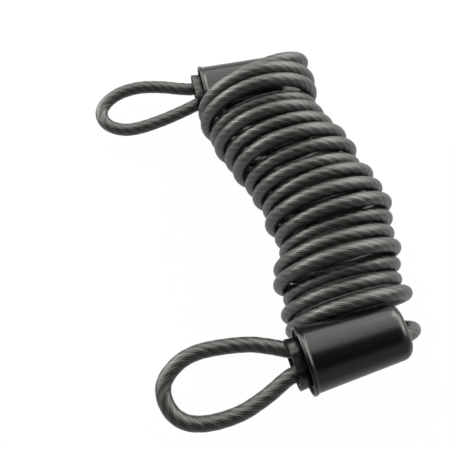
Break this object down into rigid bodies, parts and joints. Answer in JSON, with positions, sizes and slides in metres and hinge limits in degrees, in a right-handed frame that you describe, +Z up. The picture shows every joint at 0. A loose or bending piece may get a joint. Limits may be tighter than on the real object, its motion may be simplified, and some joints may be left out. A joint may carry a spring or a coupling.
{
  "type": "cable lock",
  "caption": "Self-recoiling coiled security cable with a crimped, sleeved eye at each end, for looping round a bicycle part.",
  "frame": {"origin": "middle of the footprint of the whole part, at the table it lies on", "axes": "+Y along the coil towards the far eye that lies at the table, +X from the eyes towards the closed ends of the sleeves, +Z up from the table"},
  "size_m": [0.0796, 0.113, 0.0387],
  "materials": {
    "cable": "smoke-grey see-through plastic cover over a stranded steel rope",
    "ferrule": "plain pressed metal",
    "sleeve": "glossy black moulded plastic"
  },
  "bodies": {
    "far_half": {"coil": "cable", "far_eye": "cable", "far_ferrule": "ferrule", "far_sleeve": "sleeve"},
    "near_end": {"near_eye": "cable", "near_ferrule": "ferrule", "near_sleeve": "sleeve"}
  },
  "joints": [
    {"name": "coil_stretch", "type": "slide", "parent": "far_half", "child": "near_end", "axis": [0, -1, 0], "range_m": [0, 0.6], "stiffness_N_per_m": 25, "deforming": ["coil"]}
  ]
}
